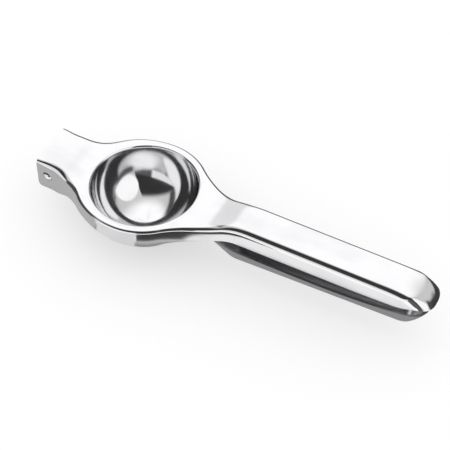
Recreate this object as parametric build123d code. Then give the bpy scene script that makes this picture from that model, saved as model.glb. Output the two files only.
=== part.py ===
from build123d import *
import os
from math import cos, hypot, radians, sin, sqrt, tan

# Hinged lemon squeezer, closed. X runs along the handles from the hinge to the nose, Z is up.
# The origin is the centre of the flat under the strainer bowl. All lengths are in millimetres.

# ---- Driving dimensions -----------------------------------------------------------------------

SHEET = 1.2              # steel of both arms
BOWL_SHEET = 0.8         # steel of the strainer bowl
CUP_SHEET = 1.0          # steel of the press cup
RING_TOP = 29.0          # height of the press arm's flat ring above the base of the bowl
BEND = 2.0               # outside radius of the arms' long bends

# Press arm, seen from above
TAB_END = -52.4          # straight-cut end behind the hinge
TAB_HALF = 12.95         # half the width over its ears
RING_R = 30.5            # outside radius of the ring
SHOULDER_R = 39.6        # flatter arc of the ring's back, tangent to the ring at its widest place
SHOULDER_BLEND = 15.0    # hollow arc from the ear into the shoulder
NECK_BLEND = 55.0        # long hollow arc from the ring into the handle
HANDLE_HALF = 9.65       # half the handle's width
NOSE_TIP = 150.75        # foremost point of the nose, on its lip
NOSE_AXIS = 130.0        # upright axis of the cone in which the top rolls down to the lip

# Press arm, seen from the side: heights above the ring's top plane
TAB_RISE = 3.1
STEP_FROM, STEP_TO = -35.5, -31.5    # the step down from the tab to the ring
STEP_BEND = 7.0
NECK_FROM, NECK_TO = 41.5, 51.5      # the rise from the ring to the handle
NECK_BEND = 20.0
NECK_REACH = 2.0         # the neck's upper bend lies this near the end of its slope
HANDLE_RISE = 6.1        # top of the handle at the neck
HANDLE_FALL = 1.0        # degrees by which the handle's top falls towards the nose
NOSE_SLOPE = 48.0        # degrees of the cone below the handle's top
NOSE_BEND = 9.0          # bend between the two
NOSE_LIP = -3.0
EAR_DEPTH = -13.7        # lower edge of the ears
EAR_CORNER = 2.0         # round at their rear lower corner
EAR_FRONT = -42.0        # from here the lower edge rises to the ring's skirt
SKIRT_RISE = (-33.0, -10.3)          # a place on that rise
SKIRT_BACK = (-19.0, -7.9)           # the ring's skirt: shallow at the back, deepest at the middle
SKIRT_MIDDLE = (8.0, -9.8)
SKIRT_FRONT = (34.0, -8.4)
HANDLE_SKIRT = -4.2      # lower edge along the handle, between these two places
HANDLE_SKIRT_FROM, HANDLE_SKIRT_TO = 53.0, 128.0

# Press cup
CUP_MOUTH = 28.0         # radius where its lip leaves the ring's plane
CUP_LIP = 2.0            # radius of the lip's roll
CUP_LIP_TURN = 84.0      # degrees through which the lip rolls before the hemisphere

# Strainer arm: heights are again from the press arm's ring plane
SIDE_GAP = 0.4           # between the two arms' walls
FLANGE_TOP = -1.7
FLANGE_R = RING_R - SHEET - SIDE_GAP
LOW_TAB_HALF = TAB_HALF - SHEET - SIDE_GAP
LOW_TAB_BLEND = 10.0
LOW_NECK_BLEND = 36.0
LOW_TAB_END = -52.0
LOW_EAR_FRONT = -39.5
LOW_EAR_DEPTH = -13.2
LOW_EAR_BACK_CORNER = 0.5            # nearly sharp: it stops the press arm's tab when fully open
LOW_EAR_FRONT_CORNER = 4.0
LOW_BEND = 2.5           # outside radius of the handle's lower bends
LOW_BEND_FROM = 25.0     # they start in front of this place
WEB_DIP = (31.5, FLANGE_TOP - SHEET)     # corners of the underside, rounded by the radii below
WEB_NECK = (51.5, -16.1)
WEB_NOSE = (138.6, -13.2)
WEB_LIP = (150.1, -3.5)
WEB_RADII = (8.0, 9.0, 9.0, 4.0)
WALL_START = (27.0, FLANGE_TOP)      # places on the top edge of the handle's walls
WALL_NECK = ((38.0, -5.6), (46.2, -8.6))
WALL_BACK = (57.0, -10.5)
WALL_FRONT = (127.0, -8.4)
LOW_NOSE_TIP = 148.9
WALL_LIP = (LOW_NOSE_TIP + 0.1, -5.4)
WALL_LIP_SLOPE = 0.1

# Strainer bowl
BOWL_R = 27.7            # inside radius
BOWL_CENTRE = -1.7       # height of its centre
HOLE_D = 3.6
HOLE_ROWS = ((27.0, 10), (39.0, 14), (51.0, 18), (63.0, 20))     # degrees up from the base, and holes
BASE_HOLES = 6           # smaller holes through the flat base, round its solid middle
BASE_HOLE_R = 5.4
BASE_HOLE_D = 2.6

# Hinge
PIVOT_X = -47.0
PIVOT_Z = -6.0
PIN_D = 4.0
PIN_CLEARANCE = 0.05     # round the pin in the strainer arm's ears
HEAD_D = 6.0
HEAD_RISE = 1.5

FAR = 200.0              # beyond the object in any direction, for shapes that are trimmed later


# ---- Helpers ----------------------------------------------------------------------------------

def arc_about(centre, start, end):
    """The short arc from start to end about centre."""
    middle = Vector(*centre)
    towards_start = Vector(*start) - middle
    towards_end = Vector(*end) - middle
    halfway = middle + (towards_start + towards_end).normalized() * towards_start.length
    return ThreePointArc(start, halfway, end)


def hollow_centre(round_centre, round_radius, edge, blend, side):
    """Centre of a hollow arc that blends a round into the straight edge y = edge, on the given side."""
    rise = edge + blend - round_centre[1]
    reach = sqrt((round_radius + blend) ** 2 - rise**2)
    return (round_centre[0] + side * reach, edge + blend)


def touch_point(centre, radius, other):
    """Where a round of that centre and radius touches a neighbour centred on other."""
    gap = hypot(other[0] - centre[0], other[1] - centre[1])
    return tuple(c + (o - c) * radius / gap for c, o in zip(centre, other))


def plan_face(edges):
    """Face between half an outline, drawn from the rear axis to the front axis, and its mirror image."""
    half = make_face(Curve() + edges + Line(edges[-1] @ 1, edges[0] @ 0))
    return half + mirror(half, Plane.XZ)


def upright(face):
    """Solid above and below a plan face."""
    return extrude(face, amount=FAR, both=True)


def across(face):
    """Solid right across the object, from a face drawn as its side view."""
    return extrude(Plane.XZ * face, amount=FAR, both=True)


# ---- Press arm --------------------------------------------------------------------------------

def press_plan(inset):
    """Press arm from above, drawn in by inset and left open at both ends."""
    ring, shoulder = (0.0, 0.0), (0.0, RING_R - SHOULDER_R)
    tab, handle = TAB_HALF - inset, HANDLE_HALF - inset
    ear_arc = hollow_centre(shoulder, SHOULDER_R, TAB_HALF, SHOULDER_BLEND, -1)
    neck_arc = hollow_centre(ring, RING_R, HANDLE_HALF, NECK_BLEND, 1)
    ear_touch = touch_point(shoulder, SHOULDER_R - inset, ear_arc)
    neck_touch = touch_point(ring, RING_R - inset, neck_arc)
    widest = (0.0, RING_R - inset)
    return plan_face([
        Line((-FAR, 0), (-FAR, tab)),
        Line((-FAR, tab), (ear_arc[0], tab)),
        arc_about(ear_arc, (ear_arc[0], tab), ear_touch),
        arc_about(shoulder, ear_touch, widest),
        arc_about(ring, widest, neck_touch),
        arc_about(neck_arc, neck_touch, (neck_arc[0], handle)),
        Line((neck_arc[0], handle), (FAR, handle)),
        Line((FAR, handle), (FAR, 0)),
    ])


def press_back(inset):
    """Region under the tab, the step, the ring and the neck's slope, which here runs on upwards."""
    slope = HANDLE_RISE / (NECK_TO - NECK_FROM)
    points = [
        (-FAR, TAB_RISE), (STEP_FROM, TAB_RISE), (STEP_TO, 0.0), (NECK_FROM, 0.0),
        (FAR, slope * (FAR - NECK_FROM)), (FAR, -FAR), (-FAR, -FAR),
    ]
    radii = [1.0, STEP_BEND, STEP_BEND, NECK_BEND, 1.0, 1.0, 1.0]
    face = make_face(FilletPolyline(*points, radius=radii, close=True))
    return across(offset(face, -inset) if inset else face)


def press_front(inset):
    """Region under the handle's falling top and the cone that closes the nose."""
    rise = HANDLE_RISE - (NOSE_AXIS - NECK_TO) * tan(radians(HANDLE_FALL))
    steepness = tan(radians(NOSE_SLOPE))
    flat_r = NOSE_TIP - NOSE_AXIS - (rise - NOSE_LIP) / steepness
    flat_r -= inset * tan(radians(NOSE_SLOPE / 2))
    depth = FAR / 2
    corner = (flat_r, -inset)
    outline = Polyline((0, -inset), corner, (flat_r + depth / steepness, -inset - depth),
                       (flat_r + depth / steepness, -FAR), (0, -FAR), close=True)
    face = make_face(outline)
    face = fillet(face.vertices().sort_by_distance(corner)[0], NOSE_BEND - inset)
    cone = revolve(Plane.XZ * face, Axis.Z)
    slab = Pos(-FAR, 0, -inset - FAR / 2) * Box(2 * FAR, FAR, FAR)
    return Pos(NOSE_AXIS, 0, rise) * Rot(0, HANDLE_FALL, 0) * (cone + slab)


def press_shape(inset):
    """The arm's outside drawn in by inset, endless below and behind, with its top bends rounded."""
    shape = upright(press_plan(inset)) & press_back(inset) & press_front(inset)
    shape = fillet([edge for edge in shape.edges() if is_neck_top(edge)], NECK_BEND - inset)
    return fillet([edge for edge in shape.edges() if is_rim(edge)], BEND - inset)


def crosses(edge):
    """True for an edge that runs across the arm from one side to the other."""
    return abs((edge @ 0).Y + (edge @ 1).Y) < 0.01 and abs((edge @ 0).Y) > 1.0


def is_neck_top(edge):
    """True for the edge across the arm where the neck's slope meets the handle's top."""
    return crosses(edge) and abs((edge @ 0.5).X - NECK_TO) < NECK_REACH and (edge @ 0.5).Z > 0


def is_rim(edge):
    """True for an edge between the arm's top and a side wall."""
    start, end = edge @ 0, edge @ 1
    upright_edge = hypot(end.X - start.X, end.Y - start.Y) < 0.01
    in_reach = -FAR / 2 < start.Z and -FAR / 2 < end.Z
    return in_reach and not upright_edge and not crosses(edge) and abs((edge @ 0.5).Y) > 1.0


def press_trim():
    """Region above the skirt's lower edge and in front of the tab's straight-cut end."""
    level = [(1, 0), (1, 0)]
    corner_centre = (TAB_END + EAR_CORNER, EAR_DEPTH + EAR_CORNER)
    ear_foot = (TAB_END + EAR_CORNER, EAR_DEPTH)
    edges = Curve() + [
        Line((TAB_END, FAR), (TAB_END, corner_centre[1])),
        arc_about(corner_centre, (TAB_END, corner_centre[1]), ear_foot),
        Line(ear_foot, (EAR_FRONT, EAR_DEPTH)),
        Spline((EAR_FRONT, EAR_DEPTH), SKIRT_RISE, SKIRT_BACK, tangents=level),
        Spline(SKIRT_BACK, SKIRT_MIDDLE, SKIRT_FRONT, tangents=level),
        Spline(SKIRT_FRONT, (HANDLE_SKIRT_FROM, HANDLE_SKIRT), tangents=level),
        Line((HANDLE_SKIRT_FROM, HANDLE_SKIRT), (HANDLE_SKIRT_TO, HANDLE_SKIRT)),
        Spline((HANDLE_SKIRT_TO, HANDLE_SKIRT), (NOSE_TIP, NOSE_LIP), tangents=level),
        Line((NOSE_TIP, NOSE_LIP), (FAR, NOSE_LIP)),
        Line((FAR, NOSE_LIP), (FAR, FAR)),
        Line((FAR, FAR), (TAB_END, FAR)),
    ]
    return across(make_face(edges))


def press_arm():
    """Upper lever: one sheet with its edges turned down all round, open at the tab's end."""
    arm = (press_shape(0) - press_shape(SHEET)) & press_trim()
    return arm - Cylinder(CUP_MOUTH, 4 * SHEET) - pin_hole(PIN_D)


# ---- Press cup --------------------------------------------------------------------------------

def press_cup():
    """Deep-drawn cup: its lip rolls down out of the ring into a hemisphere."""
    turn = radians(CUP_LIP_TURN)
    lip_centre = (CUP_MOUTH, -CUP_LIP)
    centre_height = -CUP_LIP + CUP_MOUTH * cos(turn) / sin(turn)
    inner_r = CUP_MOUTH / sin(turn) - CUP_LIP
    skins = []
    for lip_r, ball_r in ((CUP_LIP, inner_r), (CUP_LIP - CUP_SHEET, inner_r + CUP_SHEET)):
        start = (CUP_MOUTH, -CUP_LIP + lip_r)
        end = (CUP_MOUTH - lip_r * sin(turn), -CUP_LIP + lip_r * cos(turn))
        bottom = (0.0, centre_height - ball_r)
        skins.append([arc_about(lip_centre, start, end), arc_about((0.0, centre_height), end, bottom)])
    top_skin, under_skin = skins
    edges = Curve() + top_skin + under_skin
    edges += Line(top_skin[1] @ 1, under_skin[1] @ 1)
    edges += Line(top_skin[0] @ 0, under_skin[0] @ 0)
    return revolve(Plane.XZ * make_face(edges), Axis.Z)


# ---- Strainer arm -----------------------------------------------------------------------------

def strainer_plan(inset):
    """Strainer arm from above, inside the press arm's skirt at the ring and as wide at the handle."""
    ring = (0.0, 0.0)
    tab, handle = LOW_TAB_HALF - inset, HANDLE_HALF - inset
    tab_arc = hollow_centre(ring, FLANGE_R, LOW_TAB_HALF, LOW_TAB_BLEND, -1)
    neck_arc = hollow_centre(ring, FLANGE_R, HANDLE_HALF, LOW_NECK_BLEND, 1)
    tab_touch = touch_point(ring, FLANGE_R - inset, tab_arc)
    neck_touch = touch_point(ring, FLANGE_R - inset, neck_arc)
    nose_centre = LOW_NOSE_TIP - HANDLE_HALF
    widest = (0.0, FLANGE_R - inset)
    return plan_face([
        Line((LOW_EAR_FRONT, 0), (LOW_EAR_FRONT, tab)),
        Line((LOW_EAR_FRONT, tab), (tab_arc[0], tab)),
        arc_about(tab_arc, (tab_arc[0], tab), tab_touch),
        arc_about(ring, tab_touch, widest),
        arc_about(ring, widest, neck_touch),
        arc_about(neck_arc, neck_touch, (neck_arc[0], handle)),
        Line((neck_arc[0], handle), (nose_centre, handle)),
        arc_about((nose_centre, 0.0), (nose_centre, handle), (nose_centre + handle, 0)),
    ])


def strainer_under(inset):
    """Region above the strainer arm's underside: flange, dip to the handle's web, nose turned up."""
    points = [(-FAR, WEB_DIP[1]), WEB_DIP, WEB_NECK, WEB_NOSE, WEB_LIP, (FAR, FAR), (-FAR, FAR)]
    radii = [1.0, *WEB_RADII, 1.0, 1.0]
    face = make_face(FilletPolyline(*points, radius=radii, close=True))
    return across(offset(face, -inset) if inset else face)


def strainer_shape(inset):
    """The arm's outside drawn in by inset, endless above, with the handle's lower bends rounded."""
    shape = upright(strainer_plan(inset)) & strainer_under(inset)
    return fillet([edge for edge in shape.edges() if is_keel(edge)], LOW_BEND - inset)


def is_keel(edge):
    """True for an edge between the handle's web and a wall, from the neck to the nose."""
    start, end = edge @ 0, edge @ 1
    upright_edge = hypot(end.X - start.X, end.Y - start.Y) < 0.01
    in_reach = start.Z < 0 and end.Z < 0 and min(start.X, end.X) > LOW_BEND_FROM
    return in_reach and not upright_edge and not crosses(edge)


def strainer_trim():
    """Region under the flange's top and the handle walls' top edge."""
    edges = Curve() + [
        Line((-FAR, -FAR), (-FAR, FLANGE_TOP)),
        Line((-FAR, FLANGE_TOP), WALL_START),
        Spline(WALL_START, *WALL_NECK, WALL_BACK, tangents=[(1, 0), (1, 0)]),
        Spline(WALL_BACK, WALL_FRONT, WALL_LIP, tangents=[(1, 0), (1, WALL_LIP_SLOPE)]),
        Line(WALL_LIP, (WALL_LIP[0], -FAR)),
        Line((WALL_LIP[0], -FAR), (-FAR, -FAR)),
    ]
    return across(make_face(edges))


def strainer_ears():
    """Down-turned hinge ears, bent from the end of the flange."""
    length = LOW_EAR_FRONT - LOW_TAB_END
    height = FLANGE_TOP - LOW_EAR_DEPTH
    centre = (LOW_TAB_END + length / 2, 0.0, FLANGE_TOP - height / 2)
    outer = Pos(*centre) * Box(length, 2 * LOW_TAB_HALF, height)
    rims = outer.edges().filter_by(Axis.X).group_by(Axis.Z)[-1]
    outer = fillet(rims, BEND)
    inner = Pos(centre[0], 0, centre[2] - SHEET) * Box(2 * length, 2 * (LOW_TAB_HALF - SHEET), height)
    rims = inner.edges().filter_by(Axis.X).group_by(Axis.Z)[-1]
    ears = outer - fillet(rims, BEND - SHEET)
    corners = ears.edges().filter_by(Axis.Y).group_by(Axis.Z)[0].sort_by(Axis.X)
    ears = fillet(corners[:2], LOW_EAR_BACK_CORNER)
    corners = ears.edges().filter_by(Axis.Y).group_by(Axis.Z)[0].sort_by(Axis.X)
    return fillet(corners[-2:], LOW_EAR_FRONT_CORNER)


def strainer_arm():
    """Lower lever: a flange under the ring, an upward-opening handle, and down-turned ears."""
    arm = (strainer_shape(0) - strainer_shape(SHEET)) & strainer_trim()
    arm += strainer_ears()
    arm -= Cylinder(BOWL_R, 6 * SHEET)
    arm -= pin_hole(PIN_D + 2 * PIN_CLEARANCE)
    return arm


# ---- Strainer bowl ----------------------------------------------------------------------------

def bowl_shape(radius, floor):
    """Ball of the bowl below the flange, cut flat at the given height."""
    ball = Pos(0, 0, BOWL_CENTRE) * Sphere(radius)
    height = FLANGE_TOP - SHEET - floor
    return ball & Pos(0, 0, floor + height / 2) * Cylinder(2 * radius, height)


def strainer_bowl():
    """Drawn bowl with drain holes and a small flat base, welded under the flange."""
    bowl = bowl_shape(BOWL_R + BOWL_SHEET, -RING_TOP) - bowl_shape(BOWL_R, BOWL_SHEET - RING_TOP)
    drill = Pos(0, 0, BOWL_R) * Cylinder(HOLE_D / 2, 10 * BOWL_SHEET)
    for tilt, count in HOLE_ROWS:
        row = Pos(0, 0, BOWL_CENTRE) * Rot(0, 180 - tilt, 0) * drill
        for index in range(count):
            bowl -= Rot(0, 0, 360 * index / count) * row
    base_drill = Cylinder(BASE_HOLE_D / 2, 10 * BOWL_SHEET)
    for spot in PolarLocations(BASE_HOLE_R, BASE_HOLES):
        bowl -= Pos(0, 0, -RING_TOP) * spot * base_drill
    return bowl


# ---- Hinge pin --------------------------------------------------------------------------------

def pin_hole(diameter):
    """Cylinder across both ears at the pivot."""
    return Pos(PIVOT_X, 0, PIVOT_Z) * Rot(90, 0, 0) * Cylinder(diameter / 2, 2 * FAR)


def hinge_pin():
    """Rivet through the four ears, with a domed head on each side."""
    shank = Pos(PIVOT_X, 0, PIVOT_Z) * Rot(90, 0, 0) * Cylinder(PIN_D / 2, 2 * TAB_HALF)
    ball_r = ((HEAD_D / 2) ** 2 + HEAD_RISE**2) / (2 * HEAD_RISE)
    cap = Pos(0, 0, HEAD_RISE - ball_r) * Sphere(ball_r) & Pos(0, 0, FAR / 2) * Box(FAR, FAR, FAR)
    near_head = Pos(PIVOT_X, -TAB_HALF, PIVOT_Z) * Rot(90, 0, 0) * cap
    return shank + near_head + mirror(near_head, Plane.XZ)


# ---- Files ------------------------------------------------------------------------------------

NODES = {
    "press_arm": press_arm,
    "press_cup": press_cup,
    "strainer_arm": strainer_arm,
    "strainer_bowl": strainer_bowl,
    "hinge_pin": hinge_pin,
}

os.makedirs("parts", exist_ok=True)
for name, make in NODES.items():
    piece = Pos(0, 0, RING_TOP) * make()
    export_step(piece, f"parts/{name}.step")
    print(name, len(piece.solids()), round(piece.volume, 1), piece.is_valid)
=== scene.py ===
# %% [markdown]
# A hinged lemon squeezer, closed. Two stamped steel levers turn on one rivet. The upper lever carries
# a smooth cup that presses half a lemon into the perforated bowl of the lower lever.
# The packed model is the fixed frame: sizes and motion come from it. The upper lever's sheet, its cup and the
# rivet are shaped again here, because polished steel shows the exact curve of every bend. The lower lever and
# its bowl keep their shape and only get their finish.

# %% Load the frame
from math import asin, atan2, cos, degrees, hypot, pi, radians, sin, sqrt, tan

import bpy
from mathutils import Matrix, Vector


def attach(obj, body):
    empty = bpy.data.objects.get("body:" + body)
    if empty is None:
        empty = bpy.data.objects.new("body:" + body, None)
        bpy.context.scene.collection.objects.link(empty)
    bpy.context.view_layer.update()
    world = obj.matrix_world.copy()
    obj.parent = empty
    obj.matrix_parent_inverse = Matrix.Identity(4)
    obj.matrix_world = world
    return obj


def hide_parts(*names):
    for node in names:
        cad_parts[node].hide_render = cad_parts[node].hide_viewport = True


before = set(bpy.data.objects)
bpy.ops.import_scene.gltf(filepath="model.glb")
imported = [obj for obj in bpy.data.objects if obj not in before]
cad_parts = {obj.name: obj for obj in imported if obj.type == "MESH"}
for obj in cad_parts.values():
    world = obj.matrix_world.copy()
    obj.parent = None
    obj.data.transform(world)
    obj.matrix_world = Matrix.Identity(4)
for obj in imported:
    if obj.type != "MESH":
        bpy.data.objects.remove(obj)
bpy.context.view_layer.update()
MM = 0.001
RING_TOP = 29.0 * MM                     # height of the press arm's flat ring above the bowl's base

# %% [markdown]
# The camera stands in front of the squeezer, to its right and well above it, with a long lens. It could be
# placed by eye, but a place and a line of sight worked out from the object's own corners give the same
# view each time.

# %% Camera
CAMERA_PLACE = (0.25556, -0.39916, 0.52996)
CAMERA_BACK = (0.31245, -0.58764, 0.74636)      # from what it looks at towards the camera
SENSOR_WIDTH, LENS = 36.0, 116.0
bpy.ops.object.select_all(action="DESELECT")
bpy.ops.object.camera_add(location=CAMERA_PLACE)
camera = bpy.context.object
camera.rotation_mode = "QUATERNION"
camera.rotation_quaternion = (-Vector(CAMERA_BACK)).to_track_quat("-Z", "Y")
camera.data.sensor_width = SENSOR_WIDTH
camera.data.lens = LENS
bpy.context.scene.camera = camera
bpy.context.scene.view_settings.view_transform = "Standard"
print("camera lens, mm:", camera.data.lens)

# %% [markdown]
# Everything that has a colour here is a tree of nodes: the world, the paper and each steel. The nodes could be
# placed one by one in the shader editor. A small class with short words for it keeps each tree readable.

# %% Node helper
class Graph:
    """Short words for building one node tree."""

    def __init__(self, tree):
        self.tree = tree
        tree.nodes.clear()

    def node(self, kind, inputs=(), **settings):
        """Adds a node; an input is a value, or another node's output to link to."""
        made = self.tree.nodes.new(kind)
        for name, value in settings.items():
            setattr(made, name, value)
        for key, value in dict(inputs).items():
            if isinstance(value, bpy.types.NodeSocket):
                self.tree.links.new(value, made.inputs[key])
            else:
                made.inputs[key].default_value = value
        return made

    def math(self, operation, first, second=0.0):
        return self.node("ShaderNodeMath", {0: first, 1: second}, operation=operation).outputs[0]

    def axes(self, vector):
        """The X, Y and Z outputs of a vector."""
        return self.node("ShaderNodeSeparateXYZ", {0: vector}).outputs

    def length(self, first, second):
        """Straight distance made up of two distances at right angles."""
        squares = [self.math("MULTIPLY", value, value) for value in (first, second)]
        return self.math("SQRT", self.math("ADD", *squares))

    def rise(self, value, low, high, low_out=0.0, high_out=1.0):
        """Smooth step from low_out at low to high_out at high."""
        ends = {"Value": value, "From Min": low, "From Max": high, "To Min": low_out, "To Max": high_out}
        return self.node("ShaderNodeMapRange", ends, interpolation_type="SMOOTHSTEP").outputs[0]

    def between(self, value, low, high, soft):
        """1 between low and high, with soft edges."""
        up = self.rise(value, low - soft / 2, low + soft / 2)
        down = self.rise(value, high + soft / 2, high - soft / 2)
        return self.math("MULTIPLY", up, down)

    def blend(self, first, second, share):
        """Number or colour between first and second."""
        kind, slots = ("RGBA", (6, 7)) if isinstance(second, tuple) else ("FLOAT", (2, 3))
        made = self.node("ShaderNodeMix", {0: share, slots[0]: first, slots[1]: second}, data_type=kind)
        return made.outputs[2 if kind == "RGBA" else 0]

    def tint(self, colour, by, share):
        """Colour multiplied by another, as far as share says."""
        ends = {0: share, 6: colour, 7: by}
        return self.node("ShaderNodeMix", ends, data_type="RGBA", blend_type="MULTIPLY").outputs[2]


print("node words:", [word for word in vars(Graph) if not word.startswith("_")])

# %% [markdown]
# Polished steel has no colour of its own to speak of: it shows what stands round it. So the studio matters
# as much as the material. A photographer would hang white cloth above and behind, leave the far edge of
# the room dark, and stand in front of the object as a dark shape. Panels could be modelled for all this.
# Here they are painted into the world by direction, which gives soft edges and no noise.
#
# Each light or dark card stands on one side of the studio. A place on it is how far across and how far up
# it lies for every metre away, so that a straight card has straight edges in the steel, and a round
# diffuser over the table shows as the round white patch at the bottom of the cup.

# %% Cards of the studio
TENT = (0.66, 0.65, 0.66, 1)             # white cloth walls, a little away from the lamps
SIDES = {                                # axis and sign towards each side, axes across it and up it
    "above": ("Z", 1, "X", "Y"), "right": ("X", 1, "Y", "Z"), "left": ("X", -1, "Y", "Z"),
    "front": ("Y", -1, "X", "Z"), "far": ("Y", 1, "X", "Z"),
}
CURTAIN = ("front", False, (-0.05, 5.4), (1.33, 4.8), (0.10, 0.04), (0.035, 0.033, 0.042))
CURTAIN_CUT = (-0.5, 1.0, 0.34)          # the curtain's top slants: it ends across this direction
CURTAIN_FADE = (0.10, -0.14)             # and fades between these distances along it
CARDS = (                                # side, round or not, centre, half size, softness, colour
    ("far", False, (1.25, -4.0), (2.1, 4.5), (0.3, 0.25), (0.045, 0.045, 0.055)),
    ("far", False, (-0.5, 0.55), (0.45, 0.3), (0.2, 0.15), (0.66, 0.65, 0.66)),
    ("far", False, (2.05, 0.6), (0.9, 0.32), (0.4, 0.2), (0.06, 0.065, 0.085)),
    ("left", False, (0.9, 0.5), (0.35, 0.7), (0.25, 0.3), (0.88, 0.88, 0.90)),
    ("left", False, (-0.25, -4.0), (0.6, 4.95), (0.25, 0.2), (0.07, 0.065, 0.07)),
    ("front", False, (-0.3, -4.0), (0.8, 4.6), (0.15, 0.06), (0.90, 0.87, 0.84)),
    ("front", False, (0.78, -4.0), (0.53, 4.8), (0.12, 0.3), (0.11, 0.10, 0.11)),
    CURTAIN,
    ("right", True, (-0.10, 1.12), (0.74, 0.90), (0.05, 0.05), (1.10, 1.10, 1.10)),
)
DIFFUSER = ("above", True, (-0.30, 1.05), (0.93, 1.25), (0.22, 0.03), (1.15, 1.15, 1.15))
DIFFUSER_DIM = ("above", False, (1.5, 0.0), (1.15, 6.0), (0.8, 0.1), (0.60, 0.60, 0.61))      # its right side
NEAREST = 0.01                           # directions closer than this to a side's own plane miss its cards


def card_cover(graph, toward, card):
    """1 where a direction meets the card, falling softly to 0 at its edges."""
    side, is_round, centre, half, soft = card[:-1]
    axis, sign, across, up = SIDES[side]
    depth = graph.math("MULTIPLY", toward[axis], float(sign))
    faces = graph.math("GREATER_THAN", depth, NEAREST)
    depth = graph.math("MAXIMUM", depth, NEAREST)
    spot = [graph.math("DIVIDE", toward[name], depth) for name in (across, up)]
    if is_round:
        spans = [graph.math("DIVIDE", graph.math("SUBTRACT", s, c), h) for s, c, h in zip(spot, centre, half)]
        cover = graph.rise(graph.length(*spans), 1.0 + soft[0], 1.0 - soft[0])
    else:
        inside = [graph.between(s, c - h, c + h, e) for s, c, h, e in zip(spot, centre, half, soft)]
        cover = graph.math("MULTIPLY", *inside)
    return graph.math("MULTIPLY", cover, faces)


print("studio cards:", len(CARDS) + 1)

# %% [markdown]
# The world paints the cards over the tent in turn, the diffuser last. Only a mirrored ray sees them. All
# other light is plain white from everywhere, so that the paper stays even and the object is lit softly.

# %% Studio seen in the steel
studio = bpy.data.worlds.new("studio")
bpy.context.scene.world = studio
studio.use_nodes = True
graph = Graph(studio.node_tree)
toward = graph.axes(graph.node("ShaderNodeTexCoord").outputs["Generated"])
colour = TENT
for card in CARDS:
    cover = card_cover(graph, toward, card)
    if card is CURTAIN:
        slants = [graph.math("MULTIPLY", toward[axis], s) for axis, s in zip("XYZ", CURTAIN_CUT)]
        edge = graph.math("ADD", graph.math("ADD", slants[0], slants[1]), slants[2])
        cover = graph.math("MULTIPLY", cover, graph.rise(edge, *CURTAIN_FADE))
    colour = graph.blend(colour, (*card[-1], 1), cover)
diffuser = graph.blend((*DIFFUSER[-1], 1), (*DIFFUSER_DIM[-1], 1), card_cover(graph, toward, DIFFUSER_DIM))
colour = graph.blend(colour, diffuser, card_cover(graph, toward, DIFFUSER))
light = graph.node("ShaderNodeBackground", {"Color": (1, 1, 1, 1)})
mirrored = graph.node("ShaderNodeBackground", {"Color": colour})
in_steel = graph.node("ShaderNodeLightPath").outputs["Is Glossy Ray"]
either = graph.node("ShaderNodeMixShader", {0: in_steel, 1: light.outputs[0], 2: mirrored.outputs[0]})
graph.node("ShaderNodeOutputWorld", {0: either.outputs[0]})
print("world nodes:", len(studio.node_tree.nodes))

# %% [markdown]
# The squeezer lies on a large sheet of white paper. A white material alone would turn grey under soft light,
# so the paper glows a little for the camera only, and a shadow still falls on it. The steel looks down on the
# paper too, and there it sees painted shade: a painted shadow, dim close to the squeezer and bright a hand's
# width away, and a painted dark band behind it. These places are laid out in millimetres from the squeezer.

# %% Paper and its shadow
FLOOR_SIZE, FLOOR_Z = 8.0, -0.02 * MM
PAPER_WHITE = 0.5
PAPER_GLOW = 0.52
bpy.ops.object.select_all(action="DESELECT")
bpy.ops.mesh.primitive_plane_add(size=FLOOR_SIZE, location=(0, 0, FLOOR_Z))
floor = bpy.context.object
floor.name = "floor"
paper = bpy.data.materials.new("white_paper")
paper.use_nodes = True
graph = Graph(paper.node_tree)
ray = graph.node("ShaderNodeLightPath").outputs
matt = graph.node("ShaderNodeBsdfDiffuse", {"Color": (PAPER_WHITE, PAPER_WHITE, PAPER_WHITE, 1)})
glow = graph.node("ShaderNodeEmission", {"Strength": graph.math("MULTIPLY", ray["Is Camera Ray"], PAPER_GLOW)})
shown = graph.node("ShaderNodeAddShader", {0: matt.outputs[0], 1: glow.outputs[0]})
print("floor, m:", FLOOR_SIZE)

# %% How far a spot on the paper is from the squeezer
# This distance from the squeezer shapes the painted shadow and shade in the paper's view in the steel.
HANDLE_HALF, RING_R = 9.65, 30.5         # mm: half the handle's width, and the ring's radius
BEHIND_RING, BEHIND_SHIFT = 30.0, 3.3    # mm: X behind which the shade is narrower, and by how much
spot = graph.axes(graph.node("ShaderNodeNewGeometry").outputs["Position"])
from_handle = graph.math("SUBTRACT", graph.math("ABSOLUTE", spot["Y"]), HANDLE_HALF * MM)
behind_ring = graph.math("LESS_THAN", spot["X"], BEHIND_RING * MM)
from_handle = graph.math("ADD", from_handle, graph.math("MULTIPLY", behind_ring, BEHIND_SHIFT * MM))
from_bowl = graph.length(spot["X"], spot["Y"])
away = graph.math("MINIMUM", from_handle, graph.math("SUBTRACT", from_bowl, RING_R * MM))
print("paper nodes so far:", len(paper.node_tree.nodes))

# %% Painted shade on the paper, seen in the steel
# Painted shadow round the squeezer: dark close to it, bright a little farther out.
PAINTED_SHADOW_BANDS = (                          # distance from the squeezer, and brightness; they add up
    ((17.5, 21.0), (0.30, 0.95)),
    ((28.0, 50.0), (0.00, 0.20)),
)
# A painted dark band on the paper behind the squeezer, seen only in the steel.
PAINTED_DARK_BEHIND = ((45.0, 75.0), 0.06)      # Y where the dark behind it begins and is full, and brightness
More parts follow.
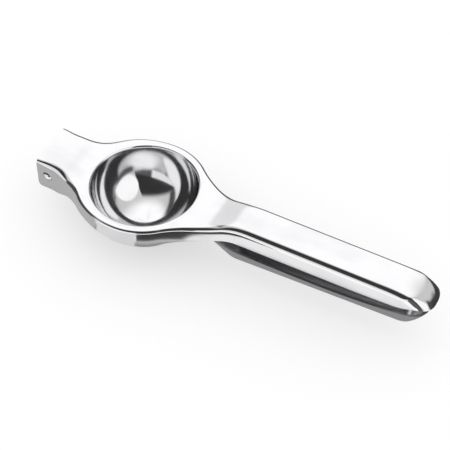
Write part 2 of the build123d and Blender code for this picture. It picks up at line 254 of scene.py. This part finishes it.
# Painted shade on the paper near the hinge and in sectors round the bowl, seen only in the steel.
PAINTED_SHADE_BOX = ((-90.0, -50.0), (-60.0, -22.0), 8.0, 0.50)      # X range, Y range, softness, brightness
PAINTED_SHADE_SECTORS = (                        # degrees from +X, distance from the bowl, softness, brightness
    ((-125.0, -74.0), (38.0, 80.0), 2.0, 0.78),
    ((-172.0, -127.0), (38.0, 900.0), 4.0, 0.48),
    ((-72.0, -41.0), (50.5, 80.0), 1.5, 0.05),
)
mirrored = 0.0
for (near, far), (low, high) in PAINTED_SHADOW_BANDS:
    mirrored = graph.math("ADD", mirrored, graph.rise(away, near * MM, far * MM, low, high))
(near, far), value = PAINTED_DARK_BEHIND
mirrored = graph.blend(mirrored, value, graph.rise(spot["Y"], near * MM, far * MM))
across_x, across_y, soft, value = PAINTED_SHADE_BOX
along = graph.between(spot["X"], *(x * MM for x in across_x), soft * MM)
over = graph.between(spot["Y"], *(y * MM for y in across_y), soft * MM)
mirrored = graph.blend(mirrored, value, graph.math("MULTIPLY", along, over))
bearing = graph.math("ARCTAN2", spot["Y"], spot["X"])
for turn, reach, soft, value in PAINTED_SHADE_SECTORS:
    round_it = graph.between(bearing, *(radians(t) for t in turn), soft / reach[0])
    out = graph.between(from_bowl, *(r * MM for r in reach), soft * MM)
    mirrored = graph.blend(mirrored, value, graph.math("MULTIPLY", round_it, out))
painted_mirror_view = graph.node("ShaderNodeEmission", {"Strength": mirrored})
views = {0: ray["Is Glossy Ray"], 1: shown.outputs[0], 2: painted_mirror_view.outputs[0]}
either = graph.node("ShaderNodeMixShader", views)
graph.node("ShaderNodeOutputMaterial", {0: either.outputs[0]})
floor.data.materials.append(paper)
print("paper nodes:", len(paper.node_tree.nodes))

# %% [markdown]
# The press arm is one sheet of steel, cut to an outline, with its edges turned down all round. It could be
# cut from a solid with booleans, but a mirror finish shows every stray edge. So half of the flat blank is
# drawn as by hand: a vertex is drawn out along the outline by extrude and spin, a second line follows the
# middle and the ring's hole, and the two are bridged into one strip of quads. It is drawn in millimetres,
# one Blender unit each, from the ring's plane, and scaled down when it is finished.

# %% Drawing helpers
def take(*pieces):
    """Selects only these pieces, out of edit mode, and makes the first the active one."""
    if bpy.context.object and bpy.context.object.mode != "OBJECT":
        bpy.ops.object.mode_set(mode="OBJECT")
    bpy.ops.object.select_all(action="DESELECT")
    for piece in pieces:
        piece.select_set(True)
    if pieces:
        bpy.context.view_layer.objects.active = pieces[0]


def edit(piece):
    """Opens a piece in edit mode with all of it selected."""
    take(piece)
    bpy.ops.object.mode_set(mode="EDIT")
    bpy.ops.mesh.select_all(action="SELECT")


def start_line(place):
    """A single vertex at place, ready to be drawn out in edit mode."""
    take()
    bpy.ops.mesh.primitive_plane_add(size=1, location=place)
    line = bpy.context.object
    bpy.ops.object.transform_apply()
    edit(line)
    bpy.ops.mesh.select_mode(type="VERT")
    bpy.ops.mesh.select_all(action="SELECT")
    bpy.ops.mesh.merge(type="CENTER")
    return line


def draw_by(way, steps):
    """Draws the last vertex out by way in equal steps."""
    for _ in range(steps):
        bpy.ops.mesh.extrude_region_move(TRANSFORM_OT_translate={"value": Vector(way) / steps})


def draw_arc(centre, turn, steps, axis=(0, 0, 1)):
    """Draws the last vertex round centre by turn degrees, counter-clockwise seen from where axis points."""
    bpy.ops.mesh.spin(steps=steps, angle=-radians(turn), center=centre, axis=axis)


print("drawing words: take, edit, start_line, draw_by, draw_arc")

# %% Blank of the press arm
TAB_END, TAB_HALF = -52.4, 12.95         # straight-cut end behind the hinge, and half the width there
HOLLOW, HOLLOW_TURN = (-48.07, 47.95, 0), 40.1          # centre of the arc from the tab into the shoulder
SHOULDER = (0, -9.1, 0)                  # centre of the ring's flatter back
SHOULDER_TOUCH = 50.3                    # degrees behind the ring's widest place where the shoulder starts
HOLE_R = 28.0
NECK, NECK_TURN = (55.95, 64.65, 0), 40.9               # centre of the arc from the ring into the handle
NOSE_FROM, NOSE_TO = 120.0, 141.5        # the nose's corners lie at the second; its middle is fuller

outline = start_line((TAB_END, TAB_HALF, 0))
draw_by((HOLLOW[0] - TAB_END, 0, 0), 8)
draw_arc(HOLLOW, HOLLOW_TURN, 26)
draw_arc(SHOULDER, -HOLLOW_TURN, 24)
draw_arc((0, 0, 0), -NECK_TURN, 22)
draw_arc(NECK, NECK_TURN, 40)
draw_by((NOSE_FROM - NECK[0], 0, 0), 36)
draw_by((NOSE_TO - NOSE_FROM, 0, 0), 44)
middle = start_line((TAB_END, 0, 0))
draw_by((-HOLE_R - TAB_END, 0, 0), 20)
draw_arc((0, 0, 0), SHOULDER_TOUCH - 90, 14)
draw_arc((0, 0, 0), -SHOULDER_TOUCH, 24)
draw_arc((0, 0, 0), -NECK_TURN, 22)
draw_arc((0, 0, 0), NECK_TURN - 90, 18)
draw_by((NECK[0] - HOLE_R, 0, 0), 22)
draw_by((NOSE_FROM - NECK[0], 0, 0), 36)
draw_by((NOSE_TO - NOSE_FROM, 0, 0), 44)
take(outline, middle)
bpy.ops.object.join()
press_arm = outline
press_arm.name = "press_arm_sheet"
print("vertices drawn:", len(press_arm.data.vertices))

# %% Closing the blank
edit(press_arm)
bpy.ops.mesh.bridge_edge_loops()
take(press_arm)
print("faces of half the blank:", len(press_arm.data.polygons))

# %% [markdown]
# The edges of the blank are then turned down. A narrow rounded edge could be left to a shader, but on this
# arm the bend is what the eye follows: wide at the shoulder, narrow round the ring, and wide again along the
# handle. So the outline is extruded down, and a bevel whose width is set edge by edge rolls it over.

# %% Picking edges and using modifiers
def pick_edges(piece, wanted):
    """Opens a piece in edit mode with the edges selected for whose ends wanted(a, b) is true."""
    edit(piece)
    bpy.ops.mesh.select_mode(type="EDGE")
    bpy.ops.mesh.select_all(action="DESELECT")
    bpy.ops.object.mode_set(mode="OBJECT")
    mesh = piece.data
    for edge in mesh.edges:
        edge.select = wanted(*(mesh.vertices[i].co for i in edge.vertices))
    bpy.ops.object.mode_set(mode="EDIT")


def use(piece, kind, **settings):
    """Adds a modifier and applies it."""
    take(piece)
    made = piece.modifiers.new(kind.title(), kind)
    for name, value in settings.items():
        setattr(made, name, value)
    bpy.ops.object.modifier_apply(modifier=made.name)


CLOSE = 0.01                             # mm; points nearer than this touch


def inner(point):
    """True on the middle line and round the ring's hole."""
    return abs(point.y) < CLOSE or hypot(point.x, point.y) < HOLE_R + CLOSE


def on_outline(a, b):
    """True for an edge of the blank's outline: it isn't on the middle line, in the hole or at an end."""
    return abs(a.z) < CLOSE and abs(b.z) < CLOSE and not inner(a) and not inner(b)


pick_edges(press_arm, on_outline)
print("edges of the outline:", press_arm.data.total_edge_sel)

# %% A smooth line through a few values
def follow(knots, x):
    """Value at x of a smooth line through knots that never swings past them."""
    if x <= knots[0][0]:
        return knots[0][1]
    if x >= knots[-1][0]:
        return knots[-1][1]
    slopes = [(b[1] - a[1]) / (b[0] - a[0]) for a, b in zip(knots, knots[1:])]
    leans = [0.0] + [2 * a * b / (a + b) if a * b > 0 else 0.0 for a, b in zip(slopes, slopes[1:])] + [0.0]
    i = max(i for i, knot in enumerate(knots) if knot[0] <= x)
    (x0, y0), (x1, y1) = knots[i], knots[i + 1]
    span, t = x1 - x0, (x - x0) / (x1 - x0)
    return ((1 + 2 * t) * (1 - t) ** 2 * y0 + t * (1 - t) ** 2 * span * leans[i]
            + t * t * (3 - 2 * t) * y1 + t * t * (t - 1) * span * leans[i + 1])


LONG_BENDS = ((TAB_END, 2.8), (-45.0, 4.8), (-38.0, 6.8), (-35.5, 6.6), (-30.0, 4.2), (-24.0, 3.0),
              (-16.0, 2.4), (22.0, 2.4), (52.0, 4.8), (139.3, 4.8), (NOSE_TO, 3.0))     # reach along X
print("reach of the bend at the ring and the handle:", follow(LONG_BENDS, 0.0), follow(LONG_BENDS, 90.0))

# %% Turning the edges down
DRAWN_DEPTH = 10.0                       # the edges are turned down by this first, then drawn to their depth
WIDEST_BEND = 8.0
BEND_FULLNESS = 0.585                    # a little squarer than round: its power is the next value
BEND_POWER = 2.5

pick_edges(press_arm, on_outline)
bpy.ops.mesh.extrude_region_move(TRANSFORM_OT_translate={"value": (0, 0, -DRAWN_DEPTH)})
take(press_arm)
mesh = press_arm.data
weights = mesh.attributes.new("bevel_weight_edge", "FLOAT", "EDGE").data
for edge in mesh.edges:
    a, b = (mesh.vertices[i].co for i in edge.vertices)
    if on_outline(a, b):
        weights[edge.index].value = follow(LONG_BENDS, (a.x + b.x) / 2) / WIDEST_BEND
use(press_arm, "BEVEL", limit_method="WEIGHT", width=WIDEST_BEND, profile=BEND_FULLNESS, segments=12,
    use_clamp_overlap=False)
print("faces with the edges rolled:", len(press_arm.data.polygons))

# %% [markdown]
# The bends have twelve rows of faces each. The flat top and the skirt are still single faces from side to
# side, too coarse to take the arm's crown and its slopes. A subdivision surface would soften the corners as
# well, so only the edges that cross those two places are divided.

# %% A finer mesh
def across_top(a, b):
    """True for an edge that crosses the flat top, from the middle line or the hole."""
    return inner(a) != inner(b)


def down_skirt(a, b):
    """True for an edge that runs down to the skirt's lower end."""
    return (a.z < CLOSE - DRAWN_DEPTH) != (b.z < CLOSE - DRAWN_DEPTH)


pick_edges(press_arm, across_top)
bpy.ops.mesh.subdivide(number_cuts=11)
pick_edges(press_arm, down_skirt)
bpy.ops.mesh.subdivide(number_cuts=4)
take(press_arm)
print("faces:", len(press_arm.data.polygons))

# %% [markdown]
# A press then gives the sheet its heights: the tab steps down to the ring, the neck rises to the handle and
# the nose rolls over to its lip. A lattice could bend the sheet, but not to given radii. So every point of
# the blank is moved to the die's height over its own place, which is what a press does. First comes the
# arm's line as seen from the side: straight runs with rolled corners.

# %% The arm's line from the side
BACK_VIEW = ((-60.0, 3.1), (-40.5, 3.1), (-31.0, 0.0), (38.5, 0.0), (52.5, 6.05))       # tab, ring, handle
BACK_BENDS = (16.0, 22.0, 36.0, 36.0)    # radii at its corners, the last where the nose begins
NOSE_MIDDLE, NOSE_MIDDLE_BEND = ((135.4, 5.4), (NOSE_TO, -2.0)), 20.0       # rolls over gently
NOSE_EDGE, NOSE_EDGE_BEND = ((135.2, 5.45), (NOSE_TO, -0.2)), 2.5           # the creases have a knee
CROWN = ((TAB_END, 0.0), (-48.0, 0.1), (-40.0, 0.3), (-32.0, 0.0), (44.0, 0.0), (58.0, 0.5), (134.0, 0.5),
         (NOSE_TO, 0.0))                 # how much lower the sides of the top lie than its middle


def rolled(corners, bends, x):
    """Height at x of a line of straight runs whose corners are rolled to the given radii."""
    for before, corner, after, bend in zip(corners, corners[1:], corners[2:], bends):
        lean_in = atan2(corner[1] - before[1], corner[0] - before[0])
        lean_out = atan2(after[1] - corner[1], after[0] - corner[0])
        reach = bend * tan(abs(lean_out - lean_in) / 2)
        if -reach * cos(lean_in) < x - corner[0] < reach * cos(lean_out):
            side = 1 if lean_out > lean_in else -1
            middle_x = corner[0] - reach * cos(lean_in) - side * bend * sin(lean_in)
            middle_z = corner[1] - reach * sin(lean_in) + side * bend * cos(lean_in)
            return middle_z - side * sqrt(bend**2 - (x - middle_x) ** 2)
    i = max(i for i, corner in enumerate(corners[:-1]) if corner[0] <= x)
    (x0, z0), (x1, z1) = corners[i], corners[i + 1]
    return z0 + (z1 - z0) * (x - x0) / (x1 - x0)


def press_top(x, share):
    """Height of the top at x, and at a share of the way from the middle to the edge."""
    middle = rolled(BACK_VIEW + NOSE_MIDDLE, BACK_BENDS + (NOSE_MIDDLE_BEND,), x)
    edge = rolled(BACK_VIEW + NOSE_EDGE, BACK_BENDS + (NOSE_EDGE_BEND,), x)
    return middle + (edge - middle) * share**2 - follow(CROWN, x) * share**4


print("top of the ring and the handle, mm:", press_top(0.0, 0.0), round(press_top(90.0, 0.0), 2))

# %% Lower edge of the skirt and the ears
LOWER_EDGE = ((-42.0, -13.7), (-33.0, -10.3), (-19.0, -7.9), (8.0, -9.8), (34.0, -8.4), (53.0, -4.2),
              (110.0, -4.1), (132.5, -3.4), (136.2, -2.9), (138.9, -2.1), (140.4, -1.5), (NOSE_TO, -1.3))
EAR_CORNER = 2.0


def ear_edge(x):
    """Lower edge at x; the ears are rounded at their rear corner."""
    back = min(EAR_CORNER, max(0.0, EAR_CORNER - (x - TAB_END)))
    return follow(LOWER_EDGE, x) + EAR_CORNER - sqrt(EAR_CORNER**2 - back**2)


print("depth of the ear and the handle, mm:", follow(LOWER_EDGE, TAB_END), follow(LOWER_EDGE, 90.0))

# %% [markdown]
# The die doesn't roll the bend quite round. A narrow flat runs along it, tilted by 40 degrees, and it is
# this flat that draws one even dark line down the handle: a round bend would show a thinner, softer one. A
# second bevel could cut it, with hard edges. Moving the rows of the bend onto it keeps its edges soft.

# %% A flat in the bend
FACET_TILT = 40.0
FACET_FROM = 0.52                        # where it starts, as a share of the bend's reach
FACET_ROUND = 0.06                       # softness of its upper edge
FACETS = ((-46.0, 0.4), (-36.0, 0.5), (-29.0, 0.3), (-16.0, 0.7), (40.0, 0.9), (60.0, 1.0))     # strength
FACET_CLOSE = 5                          # power with which the rest of the bend falls to the skirt


def faceted(drop):
    """Depth in a bend with a flat in it, for a depth in the plain bend, both as shares of its reach."""
    across = (1 - (1 - drop) ** BEND_POWER) ** (1 / BEND_POWER)
    past = across - FACET_FROM
    slope = tan(radians(FACET_TILT))
    flat = slope * (past + sqrt(past**2 + FACET_ROUND**2)) / 2
    last = slope * (1 - FACET_FROM + sqrt((1 - FACET_FROM) ** 2 + FACET_ROUND**2)) / 2
    return flat + (1 - last) * drop**FACET_CLOSE


print("a third of the way down, the bend with its flat is at:", round(faceted(1 / 3), 3))

# %% Pressing the arm to shape
BEND_LIMIT = 0.6                         # a bend takes up at most this share of the arm's depth
NOSE_FULL = 8.3                          # how far the lip's middle stands in front of its corners
NOSE_ROUND = (2.8, 0.48)                 # powers of the lip's line from above
NOSE_GROWS = ((NOSE_FROM, 0.0), (140.0, 1.0))

for vertex in press_arm.data.vertices:
    x, y, drop = vertex.co
    x = min(x, NOSE_TO)
    share = min(1.0, abs(y) / (HANDLE_HALF if x > 0 else TAB_HALF))
    depth = press_top(x, 1.0) - ear_edge(x)
    reach = follow(LONG_BENDS, x)        # the bend keeps its height; the skirt under it is drawn to depth
    bend = min(reach, BEND_LIMIT * depth)
    below = max(0.0, -drop - reach) / (DRAWN_DEPTH - reach)
    inside = min(1.0, -drop / reach)
    inside += (faceted(inside) - inside) * follow(FACETS, x)
    vertex.co.z = press_top(x, share) - inside * bend - below * (depth - bend)
    full = NOSE_FULL * (1 - share ** NOSE_ROUND[0]) ** NOSE_ROUND[1]
    vertex.co.x = x + full * follow(NOSE_GROWS, x)
corner = [max(v.co[i] for v in press_arm.data.vertices) for i in range(3)]
print("highest corner of the pressed half, mm:", [round(c, 2) for c in corner])

# %% [markdown]
# The drawn skin is mirrored to the far side, and only then gets its thickness, inwards, so that the outside
# keeps its measure. The sheared edge between the two skins takes a finish of its own, so the sheet has three
# material slots. The rivet's hole is drilled last, through both ears at once.

# %% Both halves and the sheet's thickness
SHEET = 1.2
SEAM = 0.002                             # points closer than this are one


def face_out(piece):
    """Turns the faces of an open skin so that the highest looks up."""
    edit(piece)
    bpy.ops.mesh.remove_doubles(threshold=SEAM)
    bpy.ops.mesh.normals_make_consistent(inside=False)
    bpy.ops.object.mode_set(mode="OBJECT")
    highest = max(piece.data.polygons, key=lambda face: face.center.z)
    if highest.normal.z < 0:
        edit(piece)
        bpy.ops.mesh.flip_normals()
        bpy.ops.object.mode_set(mode="OBJECT")


for _ in ("outside", "inside", "sheared edge"):
    press_arm.data.materials.append(None)
use(press_arm, "MIRROR", use_axis=(False, True, False), use_clip=True, merge_threshold=SEAM)
face_out(press_arm)
use(press_arm, "SOLIDIFY", thickness=SHEET, offset=-1.0, use_even_offset=True, material_offset=1,
    material_offset_rim=2)
print("faces of the sheet:", len(press_arm.data.polygons))

# %% Hole for the rivet
PIVOT = (-47.0, -6.0)                    # X and Z of the rivet
PIN_D = 4.0

take()
bpy.ops.mesh.primitive_cylinder_add(vertices=64, radius=PIN_D / 2, depth=4 * TAB_HALF,
                                    location=(PIVOT[0], 0, PIVOT[1]), rotation=(pi / 2, 0, 0))
drill = bpy.context.object
use(press_arm, "BOOLEAN", operation="DIFFERENCE", object=drill, solver="EXACT")
bpy.data.objects.remove(drill)
print("faces with the hole drilled:", len(press_arm.data.polygons))

# %% [markdown]
# A rivet is a turned thing: a shank with a dome at each end. Half its outline is drawn beside its axis, spun
# once round, and mirrored. A sphere squashed onto a cylinder would leave a crease that the steel shows.

# %% Rivet
HEAD_D, HEAD_RISE = 6.0, 1.6
TURNED_SEAM = 0.004


def turned(start, draw, centre, axis, steps):
    """Draws a line from start and spins it once round an axis."""
    line = start_line(start)
    draw()
    bpy.ops.mesh.select_all(action="SELECT")
    bpy.ops.mesh.spin(steps=steps, angle=2 * pi, center=centre, axis=axis)
    bpy.ops.mesh.select_all(action="SELECT")
    bpy.ops.mesh.remove_doubles(threshold=TURNED_SEAM)
    bpy.ops.mesh.normals_make_consistent(inside=False)
    bpy.ops.object.mode_set(mode="OBJECT")
    line.data.materials.append(None)
    return line


def draw_rivet():
    """Half the rivet's outline beside its axis: dome, underside of the head, and half the shank."""
    ball_r = ((HEAD_D / 2) ** 2 + HEAD_RISE**2) / (2 * HEAD_RISE)
    turn = degrees(asin(HEAD_D / 2 / ball_r))
    draw_arc((PIVOT[0], -TAB_HALF - HEAD_RISE + ball_r, PIVOT[1]), turn, 16)
    draw_by((-(HEAD_D - PIN_D) / 2, 0, 0), 3)
    draw_by((0, TAB_HALF, 0), 20)


rivet = turned((PIVOT[0], -TAB_HALF - HEAD_RISE, PIVOT[1]), draw_rivet, (PIVOT[0], 0, PIVOT[1]), (0, 1, 0), 72)
use(rivet, "MIRROR", use_axis=(False, True, False), use_clip=True, merge_threshold=TURNED_SEAM)
rivet.name = "rivet"
print("rivet faces:", len(rivet.data.polygons))

# %% [markdown]
# The press cup is deep-drawn: a punch pushes a disc through a die, so it is round, with a small roll at its
# mouth. Its outline is drawn once, from the ring over the roll and down to the middle, and spun. A cut
# sphere would have the round of the cup, but not the roll, which shows as the bright line round the mouth.

# %% Press cup
CUP_MOUTH, CUP_LIP = 27.0, 1.2           # where the roll leaves the ring's plane, and its radius
CUP_LIP_TURN = 87.0                      # degrees through which it rolls before the round of the cup
CUP_SHEET = 1.0


def draw_cup():
    """The cup's outline from the ring's hole inwards: flat rim, roll, and the round down to the middle."""
    round_middle = -CUP_LIP + CUP_MOUTH / tan(radians(CUP_LIP_TURN))
    draw_by((CUP_MOUTH - HOLE_R, 0, 0), 3)
    draw_arc((CUP_MOUTH, 0, -CUP_LIP), -CUP_LIP_TURN, 14, (0, 1, 0))
    draw_arc((0, 0, round_middle), CUP_LIP_TURN, 60, (0, 1, 0))


cup = turned((HOLE_R, 0, 0), draw_cup, (0, 0, 0), (0, 0, 1), 128)
cup.name = "press_cup_drawn"
face_out(cup)
use(cup, "SOLIDIFY", thickness=CUP_SHEET, offset=-1.0, use_even_offset=True)
print("depth of the cup, mm:", round(-min(v.co.z for v in cup.data.vertices), 2))

# %% [markdown]
# Polished steel is a mirror with a history. The belt leaves fine lines along its path, the mop dulls some
# places more than others, the sheet is never quite flat, and use adds hair-thin scratches. A flat metallic
# shader looks like plastic film, so each finish below gets these marks, at their real size, from noise that
# is drawn out along the path of the work. They go into roughness, colour and a bump a few microns deep.

# %% Noise of a given size
def new_finish(name):
    """A new material, and the words to build its nodes with."""
    material = bpy.data.materials.new(name)
    material.use_nodes = True
    return material, Graph(material.node_tree)


def on_piece(graph):
    """The place on the piece itself, in metres."""
    return graph.node("ShaderNodeTexCoord").outputs["Object"]


def noise(graph, path, size, turn=0.0, detail=2.0):
    """Noise whose marks have the given size in metres along each axis, turned about Z."""
    laid_by = {"Vector": path, "Rotation": (0, 0, radians(turn)), "Scale": size}
    laid = graph.node("ShaderNodeMapping", laid_by, vector_type="TEXTURE").outputs[0]
    return graph.node("ShaderNodeTexNoise", {"Vector": laid, "Scale": 1.0, "Detail": detail}).outputs[0]


def add_up(graph, parts):
    """Sum of several values, each times its weight."""
    total = 0.0
    for value, weight in parts:
        total = graph.node("ShaderNodeMath", {0: value, 1: weight, 2: total}, operation="MULTIPLY_ADD").outputs[0]
    return total


def steel(graph, colour, rough, height, relief):
    """Ends a finish: bare metal with a bump that is relief metres deep. Gives back the shader."""
    bump = graph.node("ShaderNodeBump", {"Strength": 1.0, "Distance": relief, "Height": height}).outputs[0]
    made = {"Base Color": colour, "Roughness": rough, "Metallic": 1.0, "Normal": bump}
    shader = graph.node("ShaderNodeBsdfPrincipled", made)
    graph.node("ShaderNodeOutputMaterial", {0: shader.outputs[0]})
    return shader


print("finish words: new_finish, on_piece, noise, add_up, steel")

# %% What polishing and use leave
CLOUD = (0.022, 0.013, 0.013)            # sizes in metres: places that the mop left duller
BELT_LINES = (0.05, 0.0006, 0.0006)      # lines that the belt left along its path
WAVES = (0.030, 0.011, 0.011)            # where the sheet isn't quite flat
SCRATCHES = (                            # size, direction in degrees, and how rare they are
    ((0.018, 0.00016, 0.004), 24, (0.68, 0.76)),
    ((0.010, 0.00014, 0.004), -37, (0.70, 0.78)),
)
CLOUD_TINT = (0.93, 0.93, 0.94, 1)
POLISH_RELIEF = 2.5e-5                   # metres


def polish(graph, path, colour, rough, lines=0.04):
    """Mirror finish worked along the path's first axis; colour and rough are those of a clean place."""
    cloud = graph.rise(noise(graph, path, CLOUD), 0.42, 0.72)
    fine = noise(graph, path, BELT_LINES, detail=4.0)
    waves = noise(graph, path, WAVES, detail=0.0)
    hairs = [graph.rise(noise(graph, path, size, turn), *rare) for size, turn, rare in SCRATCHES]
    marks = graph.math("MAXIMUM", *hairs)
    rough = add_up(graph, ((rough, 1.0), (cloud, 0.03), (fine, lines), (marks, 0.10)))
    height = add_up(graph, ((fine, 0.06), (marks, -0.03), (waves, 1.0)))
    return steel(graph, graph.tint(colour, CLOUD_TINT, cloud), rough, height, POLISH_RELIEF)


print("kinds of marks:", 3 + len(SCRATCHES))

# %% [markdown]
# The press arm is polished along its length on the outside. Its inside keeps the duller, rougher skin of the
# rolled sheet, and its colour there is darkened as painted shade under the arm. The thickness that shows along
# every edge was sheared by the die: grey, with fine upright lines.
# One finish with a mask could hold all three, but the sheet already knows its sides by their slots.

# %% Press arm finishes
STEEL = (0.86, 0.86, 0.87, 1)
arm_steel, graph = new_finish("press_arm_polish")
polish(graph, on_piece(graph), STEEL, 0.07)

# The inside's dark colour is painted shade under the arm; its higher roughness is the rolled sheet's dullness.
ROLLED_STEEL_PAINTED_SHADE = (0.42, 0.42, 0.43, 1)
arm_inside, graph = new_finish("press_arm_inside")
polish(graph, on_piece(graph), ROLLED_STEEL_PAINTED_SHADE, 0.22, lines=0.12)

SHEAR_LINES, TORN = (0.00025, 0.00025, 0.006), (0.004, 0.004, 0.0006)        # sizes in metres
SHEARED_STEEL, TORN_STEEL = (0.74, 0.74, 0.75, 1), (0.58, 0.58, 0.59, 1)
SHEAR_RELIEF = 1.5e-5
arm_rim, graph = new_finish("press_arm_sheared")
lines = noise(graph, on_piece(graph), SHEAR_LINES, detail=3.0)
torn = graph.rise(noise(graph, on_piece(graph), TORN), 0.45, 0.60)
rough = add_up(graph, ((lines, 0.15), (torn, 0.12), (1.0, 0.18)))
steel(graph, graph.blend(SHEARED_STEEL, TORN_STEEL, torn), rough, lines, SHEAR_RELIEF)
print("press arm finishes:", arm_steel.name, arm_inside.name, arm_rim.name)

# %% [markdown]
# The cup is polished while it spins, so its lines run round. The noise has to run round too, so it is laid
# on a path of its own: along the turn, outwards, and along the axis. Such lines also spread a reflection
# across them, which the shader's anisotropy does with a tangent that goes round the same axis.

# %% Press cup finish
ROUND_PATH = 0.02                        # metres of path for each radian of turn


def way_round(graph, centre, axis):
    """Path that runs round an axis: along the turn, outwards, and along the axis, in metres."""
    away = graph.node("ShaderNodeVectorMath", {0: on_piece(graph), 1: centre}, operation="SUBTRACT").outputs[0]
    part = graph.axes(away)
    first, second, along = [part[name] for name in (("X", "Z", "Y") if axis == "Y" else ("X", "Y", "Z"))]
    turn = graph.math("MULTIPLY", graph.math("ARCTAN2", second, first), ROUND_PATH)
    return graph.node("ShaderNodeCombineXYZ", {0: turn, 1: graph.length(first, second), 2: along}).outputs[0]


cup_steel, graph = new_finish("press_cup_polish")
shader = polish(graph, way_round(graph, (0, 0, 0), "Z"), STEEL, 0.05)
shader.inputs["Anisotropic"].default_value = 0.95
shader.inputs["Anisotropic Rotation"].default_value = 0.25
round_cup = graph.node("ShaderNodeTangent", direction_type="RADIAL", axis="Z")
graph.tree.links.new(round_cup.outputs[0], shader.inputs["Tangent"])
print("cup finish:", cup_steel.name)

# %% [markdown]
# The strainer arm is one sheet too, but its handle lies open upwards, and the polishing mop doesn't reach
# into the gutter. Its mesh has a single slot, so a mask does here what slots did for the press arm: where a
# face looks into the gutter, the finish is rougher, like the rolled sheet, and its colour darker as painted
# shade.

# %% Strainer arm finish
GUTTER_FROM, GUTTER_HALF = 30 * MM, 8.6 * MM
LOW_STEEL, GUTTER_STEEL_PAINTED_SHADE = (0.82, 0.82, 0.84, 1), (0.70, 0.70, 0.71, 1)
low_steel, graph = new_finish("strainer_arm_polish")
spot = graph.axes(on_piece(graph))
facing = graph.axes(graph.node("ShaderNodeTexCoord").outputs["Normal"])
outward = graph.math("MULTIPLY", facing["Y"], graph.math("SIGN", spot["Y"]))
inside = graph.math("LESS_THAN", graph.math("SUBTRACT", outward, facing["Z"]), 0.0)
inside = graph.math("MULTIPLY", inside, graph.math("LESS_THAN", graph.math("ABSOLUTE", spot["Y"]), GUTTER_HALF))
inside = graph.math("MULTIPLY", inside, graph.math("GREATER_THAN", spot["X"], GUTTER_FROM))
# In the gutter the darker colour is painted shade; the higher roughness is the duller rolled finish.
colour = graph.blend(LOW_STEEL, GUTTER_STEEL_PAINTED_SHADE, inside)
polish(graph, on_piece(graph), colour, graph.blend(0.07, 0.14, inside))
print("strainer arm finish:", low_steel.name)

# %% [markdown]
# The bowl is drawn and polished like the cup, and then its drain holes are punched. A hole's wall is sheared
# metal. It is found by its normal, which lies across the line to the middle of the bowl instead of along it.

# %% Strainer bowl finish
BOWL_MIDDLE = (0, 0, 27.3 * MM)
BOWL_STEEL, PUNCHED_STEEL = (0.82, 0.82, 0.83, 1), (0.50, 0.50, 0.51, 1)
WALL_ALONG = 0.4                         # a punched wall's normal points less than this along that line
bowl_steel, graph = new_finish("strainer_bowl_polish")
away = graph.node("ShaderNodeVectorMath", {0: on_piece(graph), 1: BOWL_MIDDLE}, operation="SUBTRACT").outputs[0]
away = graph.node("ShaderNodeVectorMath", {0: away}, operation="NORMALIZE").outputs[0]
normal = graph.node("ShaderNodeTexCoord").outputs["Normal"]
along = graph.node("ShaderNodeVectorMath", {0: away, 1: normal}, operation="DOT_PRODUCT").outputs["Value"]
punched = graph.math("LESS_THAN", graph.math("ABSOLUTE", along), WALL_ALONG)
colour = graph.blend(BOWL_STEEL, PUNCHED_STEEL, punched)
polish(graph, way_round(graph, (0, 0, 0), "Z"), colour, graph.blend(0.09, 0.32, punched))
print("bowl finish:", bowl_steel.name)

# %% [markdown]
# The rivet's heads are set by a spinning tool and left bright, so their lines run round the rivet's own axis.

# %% Rivet finish
RIVET_STEEL = (0.84, 0.84, 0.85, 1)
rivet_steel, graph = new_finish("rivet_polish")
rivet_middle = (PIVOT[0] * MM, 0, RING_TOP + PIVOT[1] * MM)
polish(graph, way_round(graph, rivet_middle, "Y"), RIVET_STEEL, 0.05)
print("rivet finish:", rivet_steel.name)

# %% [markdown]
# The three drawn pieces are still in millimetres, measured from the ring's plane. The object itself could be
# scaled and moved, but then its patterns would be scaled too. So the mesh is brought to its place and the
# object stays at the origin. Each piece then rides on its body and takes the place of the packed solid.

# %% Handing the pieces over
SMOOTH_UNDER = 40                        # degrees; the sheared edges stay sharp


def finish(piece, node, body, materials):
    """Brings a piece drawn in millimetres from the ring's plane to its place, and hands it to the frame."""
    edit(piece)
    bpy.ops.transform.resize(value=(MM, MM, MM), center_override=(0, 0, 0))
    bpy.ops.transform.translate(value=(0, 0, RING_TOP))
    bpy.ops.object.mode_set(mode="OBJECT")
    bpy.ops.object.shade_smooth_by_angle(angle=radians(SMOOTH_UNDER))
    for at, material in enumerate(materials):
        piece.data.materials[at] = material
    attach(piece, body)
    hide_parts(node)
    print(piece.name, "triangles:", sum(len(face.vertices) - 2 for face in piece.data.polygons))


finish(press_arm, "press_arm", "press", (arm_steel, arm_inside, arm_rim))
finish(rivet, "hinge_pin", "press", (rivet_steel,))
finish(cup, "press_cup", "press", (cup_steel,))
for name, material in (("strainer_arm", low_steel), ("strainer_bowl", bowl_steel)):
    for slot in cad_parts[name].material_slots:
        slot.material = material
